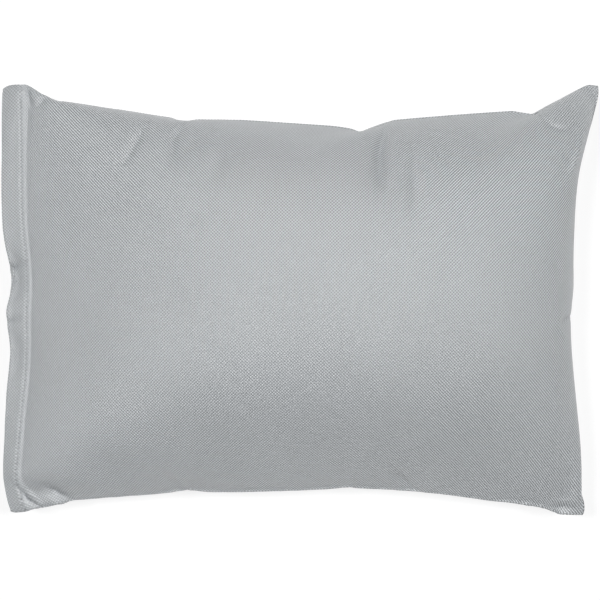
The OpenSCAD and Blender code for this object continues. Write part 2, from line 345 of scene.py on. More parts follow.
# Folds of the front panel: points seen from above, width, depth, and
# how many times wider the fold is on its right-hand side than on its left.
# A negative depth raises a soft ridge.
FRONT_FOLDS = [
    ([(-115, 132), (-119, 123), (-124, 113), (-130, 102)], 2.8, 2.8, 1),
    ([(-86, 131), (-94, 120), (-95, 104)], 5.0, 4.4, 1),
    ([(-76, 125), (-84, 110)], 5.0, 2.4, 1),
    ([(-57, 110), (-65, 88)], 7.0, 2.0, 1),
    ([(63, 127), (59, 107), (60, 86)], 5.2, 8.0, 1),
    ([(49, 122), (49, 116)], 2.8, 2.6, 1),
    ([(52, 124), (53, 112)], 2.6, -1.2, 1),
    ([(85, 112), (84, 90), (84, 64)], 8.0, 2.8, 1),
    ([(211, 122), (205, 105), (200, 90)], 2.4, -3.4, 1),
    ([(202, -12), (195, -17)], 2.4, 2.8, 1),
    ([(194, -7), (191, -19), (197, -29)], 2.2, -1.6, 1),
    ([(-190, -141), (-182, -147), (-174, -151)], 4.0, 3.5, 1),
    ([(-187, -137), (-178, -142), (-168, -147)], 2.0, -1.0, 1),
    ([(-206, -142), (-196, -150)], 2.0, 1.4, 1),
    ([(-101, -132), (-91, -141)], 4.0, 2.4, 1),
    ([(-93, -134), (-85, -141)], 1.8, -1.2, 1),
    ([(70, -122), (75, -131), (82, -137), (90, -143)], 2.2, 3.6, 3),
    ([(194, -156), (205, -158)], 2.2, 2.0, 1),
    ([(188, -151), (206, -152)], 3.0, -1.5, 1),
]

# Creases that every layer of the thin edges and corners takes part in.
CREASES = [
    ([(-213, -141), (-206, -149), (-197, -156)], 1.9, 2.4, 1),
    ([(-192, -139), (-184, -146), (-174, -152)], 2.6, 2.2, 1),
    ([(-222, 27), (-215, 24), (-210, 27)], 3.0, 2.6, 1),
    ([(-224, -18), (-213, -15)], 3.0, 1.6, 1),
    ([(-197, 147.5), (-191, 151)], 2.5, 2.8, 1),
    ([(-219, 161), (-206, 159), (-202, 146), (-193, 143)], 1.8, 1.5, 1),
    ([(211, 144), (207, 131), (201, 126), (193, 127), (185, 131), (177, 139)], 2.2, 2.2, 1),
    ([(208, -10), (200, -14), (195, -18)], 2.4, 2.4, 1),
    ([(70, -128), (76, -134), (84, -141)], 2.4, 2.0, 2),
]


def fold_depth(p, folds, sharp=False):
    """How deep the folds press into points seen from above; sharp ones have a V bottom."""
    out = np.zeros(p.shape[:-1])
    for points, width, depth, lean in folds:
        q = np.array(points, float)
        best = np.full(p.shape[:-1], 1e9)
        where, right = np.zeros_like(best), np.zeros(best.shape, bool)
        for k in range(len(q) - 1):
            d = q[k + 1] - q[k]
            from_start = p[..., :2] - q[k]
            t = np.clip((from_start @ d) / (d @ d), 0, 1)
            away = np.linalg.norm(from_start - t[..., None] * d, axis=-1)
            turned = d[0] * from_start[..., 1] - d[1] * from_start[..., 0] < 0
            nearer = away < best
            best = np.where(nearer, away, best)
            where = np.where(nearer, (k + t) / (len(q) - 1), where)
            right = np.where(nearer, turned, right)
        taper = 0.35 + 0.65 * np.sin(np.pi * np.clip(where, 0.02, 0.98))
        near = (best / (width * np.where(right, lean, 1))) ** 2
        if sharp:
            near = 1.4 * near / np.sqrt(near + 0.08)
        out += depth * taper * np.exp(-near)
    return out


# ---- panel surface

STACK = 1.95  # from the middle of a seam to the panel's outer face
FLANGE_STACK = 2.2  # the same in the flange
WALL = 0.85  # thickness of the cloth
HALF_PLY = 0.55  # from the simulated cloth to its outer face
PLY_GAP = 0.05  # from the middle of a seam to the nearest ply
EDGE_ROUND = 1.2  # how far inside the edge the turned cloth curls
ALLOWANCE = 10.5  # width of the cloth turned in at a seam
HEM_PAST_ROW = 10.0  # how far the hem reaches past the closing row
HOLES = FIRST_HOLE + STITCH * np.arange(78)  # holes of the closing row along the cloth


def ease(t):
    """Smooth step from 0 to 1."""
    t = np.clip(t, 0, 1)
    return t * t * (3 - 2 * t)


def stack_at(u, v):
    """Half thickness of the plies sewn together, thicker in the flange."""
    return STACK + (FLANGE_STACK - STACK) * (1 - ease((u - flange_width(v)) / 8))


def seam_sheet(sheets):
    """An even sheet spanned between the sewn edges, through the flange."""
    p = 0.5 * (sheets[0] + sheets[1])
    t = np.linspace(0, 1, CELLS[0] + 1 - FLANGE_COLUMNS)[:, None, None]
    p[FLANGE_COLUMNS:, 1:-1] = ((1 - t) * p[FLANGE_COLUMNS] + t * p[-1])[:, 1:-1]
    inside = p[FLANGE_COLUMNS:]
    for _ in range(900):
        m = inside[2:, 1:-1] + inside[:-2, 1:-1] + inside[1:-1, 2:] + inside[1:-1, :-2]
        inside[1:-1, 1:-1] = 0.25 * m
    return p


def calmed_flange(sheets):
    """Takes most of the ruffle out of the flange and carries it into the panels."""
    z = 0.5 * (sheets[0] + sheets[1])[: FLANGE_COLUMNS + 1, :, 2]
    calm = z.copy()
    for _ in range(90):
        calm[:, 1:-1] += 0.25 * (calm[:, 2:] - 2 * calm[:, 1:-1] + calm[:, :-2])
    move = 0.8 * (calm - z)
    fade = np.exp(-np.arange(CELLS[0] + 1 - FLANGE_COLUMNS) / 6.0)[:, None]
    for p in sheets:
        p[:FLANGE_COLUMNS, :, 2] += move[:-1]
        p[FLANGE_COLUMNS:, :, 2] += fade * move[-1]
    return sheets


FLANGE_DROOP = 5.0  # how far the flange's edge hangs below the closing row
TIP = 30  # how far from a corner it starts to droop
# How far each corner droops, by its place along X and Y.
DROOP = {(-1, -1): 3.0, (-1, 1): 2.0, (1, -1): 4.0, (1, 1): 14.0}


def drooped(p):
    """The panel with its empty corners and its flange hanging down a little."""
    flat = flat_grid(CELLS)
    for (x, y), drop in DROOP.items():
        away = np.hypot(flat[..., 0] - (x > 0) * CLOTH[0], flat[..., 1] - (y > 0) * CLOTH[1])
        p[..., 2] -= drop * np.exp(-((away / TIP) ** 2))
    outside = np.maximum(1 - flat[..., 0] / flange_width(flat[..., 1]), 0)
    p[..., 2] -= FLANGE_DROOP * outside
    return p


def eased_out(p, middle):
    """The panel with its small wrinkles smoothed, most of all towards -Y."""
    flat = flat_grid(CELLS)
    u, v = flat[..., 0], flat[..., 1]
    ends = ease((np.minimum(u - flange_width(v), CLOTH[0] - u) - 8) / 60)
    sides = ease((np.minimum(v, CLOTH[1] - v) - 8) / 60)
    along_u = ends * (0.25 + 0.75 * ease((170 - v) / 80))
    along_v = sides * 0.5
    h = p - middle
    for _ in range(60):
        m = 0.5 * (h[2:] + h[:-2]) - h[1:-1]
        h[1:-1] += 0.5 * along_u[1:-1, :, None] * m
        m = 0.5 * (h[:, 2:] + h[:, :-2]) - h[:, 1:-1]
        h[:, 1:-1] += 0.5 * along_v[:, 1:-1, None] * m
    return middle + h


def hem_ledge(p, middle):
    """The panel held flat beside the closing row, where the hem backs it."""
    flat = flat_grid(CELLS)
    inward = flat[..., 0] - flange_width(flat[..., 1])
    # steep where it passes the hem, then an even slope
    steep = 0.52 + 0.3 * ease(1 - flat[..., 1] / 180)
    beside = np.maximum(inward, 0)
    most = steep * beside + 1.4 * (1 - np.exp(-beside / 1.2))
    size = np.linalg.norm(p - middle, axis=-1) + 1e-6
    share = most / (most**4 + size**4) ** 0.25
    return middle + share[..., None] * (p - middle)


class Cover:
    """Both simulated panels and the sheet between them that the seams lie on."""

    def __init__(self, sheets):
        sheets = [drooped(p) for p in calmed_flange(sheets)]
        middle = seam_sheet(sheets)
        self.middle = Surface(middle)
        front = hem_ledge(eased_out(sheets[0], middle), middle)
        back = hem_ledge(sheets[1], middle)
        self.face = {1: Surface(front), -1: Surface(back)}

    def reach(self, side, u, v):
        """From the middle sheet to the panel, folds included."""
        s = self.face[side].at(u, v)
        h = s - self.middle.at(u, v)
        if side > 0:
            size = np.linalg.norm(h, axis=-1)
            depth = np.minimum(fold_depth(s, FRONT_FOLDS, True), 0.8 * size)
            h = h - depth[..., None] * unit(h)
        return h

    def rim(self, u, v):
        """Flat coordinates of the centre of the turned edge's curl, and its radius."""
        r = 0.5 * (stack_at(u, v) - PLY_GAP)
        cu = np.clip(u, r, CLOTH[0] - EDGE_ROUND)
        cv = np.clip(v, EDGE_ROUND, CLOTH[1] - EDGE_ROUND)
        return cu, cv, r

    def outer(self, side, u, v):
        """The panel's outer face at flat cloth coordinates."""
        m = self.middle.at(u, v)
        h = self.reach(side, u, v)
        up = side * self.middle.normal(u, v)
        n = side * self.face[side].normal(u, v)
        edge = np.minimum(np.minimum(v, CLOTH[1] - v), CLOTH[0] - u)
        # the last few millimetres turn into the curl of the seam
        cu, cv, r = self.rim(u, v)
        curl = self.middle.at(cu, cv) + (r + PLY_GAP)[..., None] * up + r[..., None] * n
        plain = m + h + HALF_PLY * n
        share = (1 - ease(edge / 6)) ** 1.5
        share = share * ease((u - flange_width(v) - 2) / 6 + 0.3)
        p = plain + share[..., None] * (curl - plain)
        # room for the seam allowances where the panels lie close together
        least = stack_at(u, v) + 0.6 * ease((edge - 1) / 2.5)
        low = least - ((p - m) * up).sum(-1)
        p = p + (0.5 * (low + np.sqrt(low * low + 0.04)))[..., None] * up
        if side > 0:
            # thin edges take only a shallow fold
            press = np.clip(0.5 * fold_depth(p, FRONT_FOLDS), -1.0, 0.8)
            p = p - (press * ease(low + 0.5))[..., None] * up
        # the closing row draws the cloth in, most of all at its holes
        off_row = u - flange_width(v)
        groove = 0.45 * np.exp(-((off_row / 1.1) ** 2))
        near = np.abs(v[..., None] - HOLES).min(-1)
        groove = groove + 0.55 * np.exp(-((off_row**2 + near**2) / 0.6))
        return p - groove[..., None] * up


def grid_lines():
    """Column positions as flange part and body part, and row positions."""
    flange = np.linspace(0, 1, 15)
    near = np.arange(1, 25) * 1.0
    far = np.linspace(24, CLOTH[0] - FLANGE_TOP - 6, 212)[1:]
    tail = CLOTH[0] - FLANGE_TOP - 6 + np.arange(1, 7)
    body = np.r_[near, far, tail] / (CLOTH[0] - FLANGE_TOP)
    rows = FIRST_HOLE + STITCH / 3 * np.arange(-6, 238)
    return flange, body, np.r_[0, rows, CLOTH[1]]


def panel_grid():
    """Flat cloth coordinates of a panel's grid; its first column starts the flange's fold."""
    flange, body, rows = grid_lines()
    v = rows[None]
    w = flange_width(v)
    start = 0.5 * (FLANGE_STACK - PLY_GAP)
    u_flange = start + (w - start) * flange[:, None]
    u_body = w + (CLOTH[0] - w) * body[:, None]
    u = np.concatenate([u_flange, u_body], 0)
    return u, v + 0 * u


def grid_faces(n, m):
    """Faces of a grid of n by m points."""
    i, j = np.meshgrid(np.arange(n - 1), np.arange(m - 1), indexing="ij")
    a = i * m + j
    return np.stack([a, a + m, a + m + 1, a + 1], -1).reshape(-1, 4)


def loop_indices(n, m):
    """Indices of a grid's border points, anticlockwise seen from above, corners once."""
    bottom = [i * m for i in range(n)]
    right = [(n - 1) * m + j for j in range(1, m)]
    top = [i * m + m - 1 for i in range(n - 2, -1, -1)]
    left = [j for j in range(m - 2, 0, -1)]
    return np.array(bottom + right + top + left)


def tucked(t, u, v):
    """Flat coordinates a share t of the way in along the turned cloth."""
    w = flange_width(v)
    first = u < 0.5 * FLANGE_STACK + 0.01
    last = u > CLOTH[0] - 0.01
    low, high = v < 0.01, v > CLOTH[1] - 0.01
    hem = w + HEM_PAST_ROW
    past = np.clip(1 - u / (2 * hem), 0, 1)
    before = np.clip(1 - (CLOTH[0] - u) / (2 * ALLOWANCE), 0, 1)
    du = first * hem - last * ALLOWANCE
    along_u = past * hem - before * ALLOWANCE
    du = np.where((low | high) & ~first & ~last, along_u, du)
    above = np.clip(1 - v / (2 * ALLOWANCE), 0, 1) * ALLOWANCE
    below = np.clip(1 - (CLOTH[1] - v) / (2 * ALLOWANCE), 0, 1) * ALLOWANCE
    dv = np.where(low, ALLOWANCE, 0) - np.where(high, ALLOWANCE, 0)
    dv = np.where((first | last) & ~low & ~high, above - below, dv)
    return du * t, dv * t


def thickened(points, faces, rim, wall):
    """Adds an inner face a wall below the outer one, joined along the rim."""
    n = np.zeros_like(points)
    a, b, c, d = (points[faces[:, k]] for k in range(4))
    cross = np.cross(c - a, d - b)
    for k in range(4):
        np.add.at(n, faces[:, k], cross)
    inner = points - wall * unit(n)
    size = len(points)
    back = faces[:, ::-1] + size
    nxt = np.roll(rim, -1)
    side = np.stack([rim, rim + size, nxt + size, nxt], -1)
    return np.concatenate([points, inner]), np.concatenate([faces, back, side])


def panel_mesh(cover, side):
    """Points, faces and flat coordinates of one cover panel with its turned edges."""
    u, v = panel_grid()
    n, m = u.shape
    p = cover.outer(side, u, v)
    flat = np.stack([u, v], -1).reshape(-1, 2)
    ring = loop_indices(n, m)
    ru, rv = flat[ring].T
    cu, cv, r = cover.rim(ru, rv)
    up = side * cover.middle.normal(cu, cv)
    centre = cover.middle.at(cu, cv) + (r + PLY_GAP)[:, None] * up
    start = p.reshape(-1, 3)[ring] - centre
    radius = np.linalg.norm(start, axis=-1)
    du, dv, _ = cover.middle.frame(cu, cv)
    left, right = ru < 2, ru > CLOTH[0] - 0.01
    low, high = rv < 0.01, rv > CLOTH[1] - 0.01
    out = -du * left[:, None] + du * right[:, None] - dv * low[:, None] + dv * high[:, None]
    out = unit(out - (out * up).sum(-1, keepdims=True) * up)
    rise = np.arctan2((start * out).sum(-1), (start * up).sum(-1))
    layers, coords = [], []
    inward = np.stack([left * 1 - right, low * 1 - high], -1)
    steps = 7
    for k in range(1, steps + 1):
        a = rise + (math.pi - rise) * k / steps
        size = radius + (r - radius) * k / steps
        spoke = np.sin(a)[:, None] * out + np.cos(a)[:, None] * up
        layers.append(centre + size[:, None] * spoke)
        far = (r * (a - rise))[:, None]
        coords.append(np.stack([ru, rv], -1) - far * inward)
    for t in np.linspace(0, 1, 10)[1:]:
        tu, tv = tucked(t, ru, rv)
        q = cover.middle.at(cu + tu, cv + tv)
        lift = side * cover.middle.normal(cu + tu, cv + tv) * PLY_GAP
        layers.append(q + lift)
        coords.append(coords[steps - 1] - np.stack([tu, tv], -1))
    points = np.concatenate([p.reshape(-1, 3)] + layers)
    count = len(ring)
    faces = [grid_faces(n, m)]
    inner = ring
    for k in range(len(layers)):
        outer = n * m + k * count + np.arange(count)
        faces.append(np.stack([inner, outer, np.roll(outer, -1), np.roll(inner, -1)], -1))
        inner = outer
    faces = np.concatenate(faces)
    rim = inner
    if side < 0:
        faces = faces[:, ::-1]
        rim = rim[::-1]
    coords = np.concatenate([flat] + coords)
    points, faces = thickened(points, faces, rim, WALL)
    return points, faces, np.concatenate([coords, coords])


# ---- objects


def add_piece(name, points, faces, coords, material):
    """A smooth mesh object; flat cloth coordinates are kept as the attribute cloth."""
    mesh = bpy.data.meshes.new(name)
    mesh.from_pydata((points * MM).tolist(), [], [list(f) for f in faces])
    mesh.polygons.foreach_set("use_smooth", np.ones(len(mesh.polygons), bool))
    flat = np.zeros((len(points), 3), np.float32)
    flat[:, :2] = coords * MM
    flat[:, 2] = (coords[:, 0] - flange_width(coords[:, 1])) * MM
    mesh.attributes.new("cloth", "FLOAT_VECTOR", "POINT")
    mesh.attributes["cloth"].data.foreach_set("vector", flat.ravel())
    mesh.materials.append(material)
    mesh.update()
    obj = bpy.data.objects.new(name, mesh)
    bpy.context.scene.collection.objects.link(obj)
    return obj


def tubes(paths, ups, radius, sides=6):
    """Closed tubes along many paths of equal length; coordinates run along and around."""
    count, steps = paths.shape[:2]
    t = unit(np.gradient(paths, axis=1))
    b = unit(np.cross(t, ups))
    a = np.cross(b, t)
    turn = np.linspace(0, 2 * math.pi, sides, endpoint=False)
    ring = np.cos(turn)[:, None] * a[:, :, None] + np.sin(turn)[:, None] * b[:, :, None]
    swell = np.full(steps, radius)
    swell[[0, -1]] *= 0.6
    points = paths[:, :, None] + swell[None, :, None, None] * ring
    run = np.cumsum(np.linalg.norm(np.diff(paths, axis=1, prepend=paths[:, :1]), axis=-1), 1)
    coords = np.stack([run[..., None] + 0 * turn, radius * turn + 0 * run[..., None]], -1)
    k, i, j = np.meshgrid(np.arange(count), np.arange(steps - 1), np.arange(sides), indexing="ij")
    first = (k * steps + i) * sides
    nxt = (j + 1) % sides
    walls = np.stack([first + j, first + sides + j, first + sides + nxt, first + nxt], -1)
    faces = walls.reshape(-1, 4).tolist()
    for k in range(count):
        base = k * steps * sides
        faces.append([base + j for j in range(sides)])
        faces.append([base + (steps - 1) * sides + j for j in range(sides - 1, -1, -1)])
    return points.reshape(-1, 3), faces, coords.reshape(-1, 2)


# ---- materials


class Nodes:
    """A node material built in code."""

    def __init__(self, name):
        self.material = bpy.data.materials.new(name)
        self.material.use_nodes = True
        self.tree = self.material.node_tree
        self.tree.nodes.clear()
        self.shader = self.tree.nodes.new("ShaderNodeBsdfPrincipled")
        end = self.tree.nodes.new("ShaderNodeOutputMaterial")
        self.tree.links.new(self.shader.outputs[0], end.inputs["Surface"])

    def put(self, socket, value):
        if isinstance(value, bpy.types.NodeSocket):
            self.tree.links.new(value, socket)
        else:
            socket.default_value = value

    def cloth(self):
        """The flat cloth coordinates, in millimetres, as two sockets."""
        a = self.tree.nodes.new("ShaderNodeAttribute")
        a.attribute_name = "cloth"
        scale = self.tree.nodes.new("ShaderNodeVectorMath")
        scale.operation = "SCALE"
        self.put(scale.inputs[0], a.outputs["Vector"])
        scale.inputs["Scale"].default_value = 1000
        split = self.tree.nodes.new("ShaderNodeSeparateXYZ")
        self.put(split.inputs[0], scale.outputs[0])
        self.from_row = split.outputs[2]
        return scale.outputs[0], split.outputs[0], split.outputs[1]

    def math(self, operation, a, b=0.0, c=0.0):
        n = self.tree.nodes.new("ShaderNodeMath")
        n.operation = operation
        for socket, value in zip(n.inputs, (a, b, c)):
            self.put(socket, value)
        return n.outputs[0]

    def mad(self, a, b, c):
        """a times b plus c."""
        return self.math("MULTIPLY_ADD", a, b, c)

    def held(self, a, low, high):
        """a held between low and high."""
        return self.math("MINIMUM", self.math("MAXIMUM", a, low), high)

    def bell(self, squared):
        """1 at zero, falling off with the squared distance."""
        return self.math("POWER", 0.37, squared)

    def wave(self, x, period):
        return self.math("SINE", self.math("MULTIPLY", x, 2 * math.pi / period))

    def noise(self, vector, size, detail=2.0):
        n = self.tree.nodes.new("ShaderNodeTexNoise")
        self.put(n.inputs["Vector"], vector)
        n.inputs["Scale"].default_value = 1 / size
        n.inputs["Detail"].default_value = detail
        return n.outputs["Fac"]

    def stretched(self, vector, sx, sy):
        n = self.tree.nodes.new("ShaderNodeVectorMath")
        n.operation = "MULTIPLY"
        self.put(n.inputs[0], vector)
        n.inputs[1].default_value = (sx, sy, 1)
        return n.outputs[0]

    def colours(self, fac, stops):
        n = self.tree.nodes.new("ShaderNodeValToRGB")
        self.put(n.inputs[0], fac)
        ramp = n.color_ramp
        while len(ramp.elements) < len(stops):
            ramp.elements.new(0.5)
        for element, (at, colour) in zip(ramp.elements, stops):
            element.position = at
            element.color = (*colour, 1)
        return n.outputs[0]

    def bump(self, height, distance):
        n = self.tree.nodes.new("ShaderNodeBump")
        self.put(n.inputs["Height"], height)
        n.inputs["Distance"].default_value = distance * MM
        n.inputs["Strength"].default_value = 1
        return n.outputs[0]

    def finish(self, colour, normal, roughness, sheen=0.0, specular=0.25, ior=1.5):
        self.put(self.shader.inputs["Base Color"], colour)
        self.put(self.shader.inputs["Normal"], normal)
        self.put(self.shader.inputs["Roughness"], roughness)
        self.shader.inputs["Sheen Weight"].default_value = sheen
        self.shader.inputs["IOR"].default_value = ior
        self.shader.inputs["Specular IOR Level"].default_value = specular
        return self.material


def tint(colour, k):
    """The colour made k times as light."""
    return tuple(c * k for c in colour)


GREY = (0.425, 0.448, 0.467)  # mean colour of the cover's cloth
WEAVE = 2.4  # period of the coarse plain weave


def cover_material():
    """Plain weave of doubled grey yarns with a soft brushed face; the weave's shade, shadow in the
    needle holes and a highlight beside the closing row are painted into its colour.
    """
    m = Nodes("cover_cloth")
    vector, u, v = m.cloth()
    length, width = CLOTH
    # the two diagonals of the weave, wandering a little
    wander = m.mad(m.noise(vector, 9.0), 1.6, -0.8)
    k = 2 * math.pi / WEAVE
    rise = m.math("COSINE", m.mad(m.math("ADD", u, v), k, wander))
    fall = m.math("COSINE", m.mad(m.math("SUBTRACT", u, v), k, wander))
    # painted shade: towards the corners the colour brings out one diagonal of the weave, the one that
    # light and shade pick out on the cloth tilted there
    across = m.math("MULTIPLY", m.math("SUBTRACT", u, 235.0), m.math("SUBTRACT", v, 163.0))
    diagonal_shade = m.held(m.math("MULTIPLY", across, 1 / 17000), -0.6, 0.6)
    # less so in the -X -Y quarter, the flange and the tip of the hanging corner
    low = m.math("MAXIMUM", m.mad(v, -1 / 163, 1.0), 0.0)
    low = m.math("MULTIPLY", low, m.math("MAXIMUM", m.mad(u, -1 / 235, 1.0), 0.0))
    diagonal_shade = m.math("MINIMUM", diagonal_shade, m.math("MAXIMUM", m.mad(low, -2.0, 0.6), 0.05))
    body = m.held(m.mad(u, 1 / 30, -0.6), 0.0, 1.0)
    diagonal_shade = m.math("MULTIPLY", diagonal_shade, body)
    from_x, from_y = m.mad(u, 1 / 50, -length / 50), m.mad(v, 1 / 50, -width / 50)
    tip = m.bell(m.mad(from_x, from_x, m.math("MULTIPLY", from_y, from_y)))
    diagonal_shade = m.math("MULTIPLY", diagonal_shade, m.mad(tip, -0.6, 1.0))
    fall = m.math("MULTIPLY", fall, m.math("ADD", diagonal_shade, 0.9))
    rise = m.math("MULTIPLY", rise, m.math("SUBTRACT", 0.9, diagonal_shade))
    cells = m.math("MULTIPLY", m.math("SUBTRACT", fall, rise), 0.5)
    # relief of the yarns and their fuzz
    yarn_u = m.math("ABSOLUTE", m.wave(u, WEAVE / 2))
    yarn_v = m.math("ABSOLUTE", m.wave(v, WEAVE / 2))
    slub = m.noise(m.stretched(vector, 0.2, 1.0), 1.0)
    slub = m.math("ADD", slub, m.noise(m.stretched(vector, 1.0, 0.2), 1.0))
    fuzz = m.noise(vector, 0.35, 3.0)
    height = m.mad(cells, 0.5, 0.5)
    height = m.mad(m.math("MULTIPLY", yarn_u, yarn_v), 0.25, height)
    height = m.mad(fuzz, 0.35, height)
    # painted shade of the weave's relief: the sunken cells are coloured darker, by an amount that
    # changes by place with how far the cloth there tilts from the light
    upper = m.held(m.mad(v, 1 / 110, -150 / 110), 0.0, 1.0)
    ends = m.math("ABSOLUTE", m.mad(u, 1 / 235, -1.0))
    depth = m.mad(ends, 0.1, m.mad(upper, 0.2, 0.3))
    lower = m.math("MAXIMUM", m.mad(v, -1 / 120, 1.0), 0.0)
    lower = m.math("MULTIPLY", lower, m.math("SUBTRACT", 1.0, ends))
    depth = m.mad(lower, 0.16, depth)
    depth = m.mad(m.held(m.mad(u, 1 / 120, -2.0), 0.0, 1.0), 0.08, depth)
    depth = m.math("MULTIPLY", depth, m.mad(body, 0.5, 0.5))
    depth = m.math("MULTIPLY", depth, m.mad(tip, -0.5, 1.0))
    # beside the closing row the cloth is pressed smooth, which weakens the weave's painted shade
    # there, and a painted highlight lightens that band
    pressed_and_highlight = m.mad(m.from_row, 1 / 1.5, -2.2 / 1.5)
    pressed_and_highlight = m.bell(m.math("MULTIPLY", pressed_and_highlight, pressed_and_highlight))
    depth = m.math("MULTIPLY", depth, m.mad(pressed_and_highlight, -0.6, 1.0))
    # the weave's painted shade, its diagonals included, goes into the colour
    tone = m.mad(cells, depth, 0.5)
    # painted shadow in the needle holes of the closing row, darker towards -Y
    beat = 2 * math.pi / STITCH
    beat = m.math("COSINE", m.mad(v, beat, -beat * FIRST_HOLE))
    off_row = m.math("MULTIPLY", m.from_row, 1 / 0.7)
    hole_shadow = m.bell(m.math("MULTIPLY", off_row, off_row))
    hole_shadow = m.math("MULTIPLY", m.held(m.mad(beat, 3.0, -1.6), 0.0, 1.0), hole_shadow)
    hole_shadow_strength = m.math("MAXIMUM", m.mad(v, -0.22 / 163, 0.32), 0.1)
    # painted highlight along the closing row
    tone = m.mad(pressed_and_highlight, 0.05, tone)
    tone = m.math("SUBTRACT", tone, m.math("MULTIPLY", hole_shadow, hole_shadow_strength))
    tone = m.mad(m.math("SUBTRACT", slub, 1.0), 0.14, tone)
    tone = m.mad(m.math("SUBTRACT", m.noise(vector, 60.0), 0.5), 0.06, tone)
    colour = m.colours(tone, [(0.0, tint(GREY, 0.2)), (1.0, tint(GREY, 1.8))])
    rough = m.mad(fuzz, 0.15, 0.42)
    return m.finish(colour, m.bump(height, 0.3), rough, 0.06, 0.9, 2.0)


def thread_material(name, colour):
    """Two-ply sewing thread."""
    m = Nodes(name)
    vector, run, around = m.cloth()
    lay = m.math("ADD", m.math("MULTIPLY", run, 2.2), m.math("MULTIPLY", around, 3.4))
    ply = m.math("ABSOLUTE", m.wave(lay, 2.0))
    fuzz = m.noise(vector, 0.2)
    tone = m.mad(ply, 0.6, m.math("MULTIPLY", fuzz, 0.4))
    shade = m.colours(tone, [(0.0, tint(colour, 0.6)), (1.0, tint(colour, 1.1))])
    return m.finish(shade, m.bump(tone, 0.1), 0.6, 0.1)


def nonwoven_material():
    """White needled non-woven cloth of the inner bag."""
    m = Nodes("inner_bag_cloth")
    vector, u, v = m.cloth()
    fibres = m.noise(m.stretched(vector, 0.4, 1.0), 0.9, 6.0)
    dots = m.math("MULTIPLY", m.wave(u, 2.8), m.wave(v, 2.8))
    tone = m.mad(dots, 0.15, fibres)
    colour = m.colours(tone, [(0.2, (0.62, 0.62, 0.6)), (0.8, (0.8, 0.8, 0.78))])
    return m.finish(colour, m.bump(tone, 0.25), 0.85, 0.1)


def fibre_material():
    """Loose white polyester fibre."""
    m = Nodes("fill_fibre")
    vector, _, _ = m.cloth()
    strands = m.noise(m.stretched(vector, 0.25, 1.0), 1.5, 8.0)
    cross = m.noise(m.stretched(vector, 1.0, 0.3), 2.1, 8.0)
    tone = m.mad(cross, 0.5, m.math("MULTIPLY", strands, 0.5))
    colour = m.colours(tone, [(0.25, (0.66, 0.66, 0.64)), (0.75, (0.86, 0.86, 0.84))])
    return m.finish(colour, m.bump(tone, 1.2), 0.9, 0.4)


def label_material():
    """Woven satin label, blank."""
    m = Nodes("label_satin")
    vector, _, v = m.cloth()
    ribs = m.wave(v, 0.5)
    tone = m.mad(ribs, 0.25, m.noise(vector, 3.0))
    colour = m.colours(tone, [(0.2, (0.68, 0.68, 0.66)), (0.9, (0.82, 0.82, 0.8))])
    return m.finish(colour, m.bump(tone, 0.08), 0.45, 0.05)


# ---- inner pieces

BAG_INSET = 15.0  # from the cover's seams and closing row to the bag's edge
BAG_POINTS = (181, 133)
BAG_WALL = 1.0


def bag_grid(inset, n, m):
    """Flat coordinates of a panel with blunt corners, and distance from its edge."""
    p = np.linspace(-1, 1, n)[:, None]
    q = np.linspace(-1, 1, m)[None]
    x, y = p * (1 - 0.12 * q**4), q * (1 - 0.12 * p**4)
    low = FLANGE_TOP + inset
    a, b = 0.5 * (CLOTH[0] - inset - low), 0.5 * CLOTH[1] - inset
    u, v = 0.5 * (CLOTH[0] - inset + low) + a * x, 0.5 * CLOTH[1] + b * y
    edge = np.minimum((1 - np.abs(p)) * a, (1 - np.abs(q)) * b)
    return u, v, edge


def nested(cover, side, u, v, edge, clear, start, soft):
    """A skin the given clearance inside the cover, closed at its own edge."""
    h = cover.reach(side, u, v)
    size = np.linalg.norm(h, axis=-1)
    t = np.clip((edge - start) / soft, 0, 1)
    full = np.sqrt(1 - (1 - t) ** 2) * np.clip(1 - clear / size, 0, 1)
    return cover.middle.at(u, v) + h * full[..., None]


def bag_mesh(cover, side):
    """Points, faces and flat coordinates of one half of the inner bag."""
    u, v, edge = bag_grid(BAG_INSET, *BAG_POINTS)
    p = nested(cover, side, u, v, edge, 2.8, 3.0, 30.0)
    up = side * cover.middle.normal(u, v)
    p = (p + 1.1 * up).reshape(-1, 3)
    n, m = u.shape
    faces, rim = grid_faces(n, m), loop_indices(n, m)
    if side < 0:
        faces, rim = faces[:, ::-1], rim[::-1]
    coords = np.stack([u, v], -1).reshape(-1, 2)
    points, faces = thickened(p, faces, rim, BAG_WALL)
    return points, faces, np.concatenate([coords, coords])


def fill_mesh(cover):
    """The fibre fill: one closed lumpy body."""
    u, v, edge = bag_grid(BAG_INSET + 5, 161, 117)
    n, m = u.shape
    rng = np.random.default_rng(7)
    lumps = np.zeros((n, m))
    for _ in range(60):
        kx, ky = rng.uniform(-0.22, 0.22, 2)
        lumps += np.cos(kx * u + ky * v + rng.uniform(0, 6.3))
    lumps = np.clip(lumps / 12, -1, 1) - 1.0
    skins = []
    for side in (1, -1):
        p = nested(cover, side, u, v, edge, 5.6, 8.0, 32.0)
        away = unit(cover.reach(side, u, v))
        depth = lumps * ease((edge - 14) / 20)
        p = p + depth[..., None] * away
        skins.append(p.reshape(-1, 3) + side * 0.15 * cover.middle.normal(u, v).reshape(-1, 3))
    faces, rim = grid_faces(n, m), loop_indices(n, m)
    size, nxt = n * m, np.roll(rim, -1)
    side_faces = np.stack([rim, rim + size, nxt + size, nxt], -1)
    faces = np.concatenate([faces, faces[:, ::-1] + size, side_faces])
    coords = np.stack([u, v], -1).reshape(-1, 2)
    return np.concatenate(skins), faces, np.concatenate([coords, coords])


# ---- threads

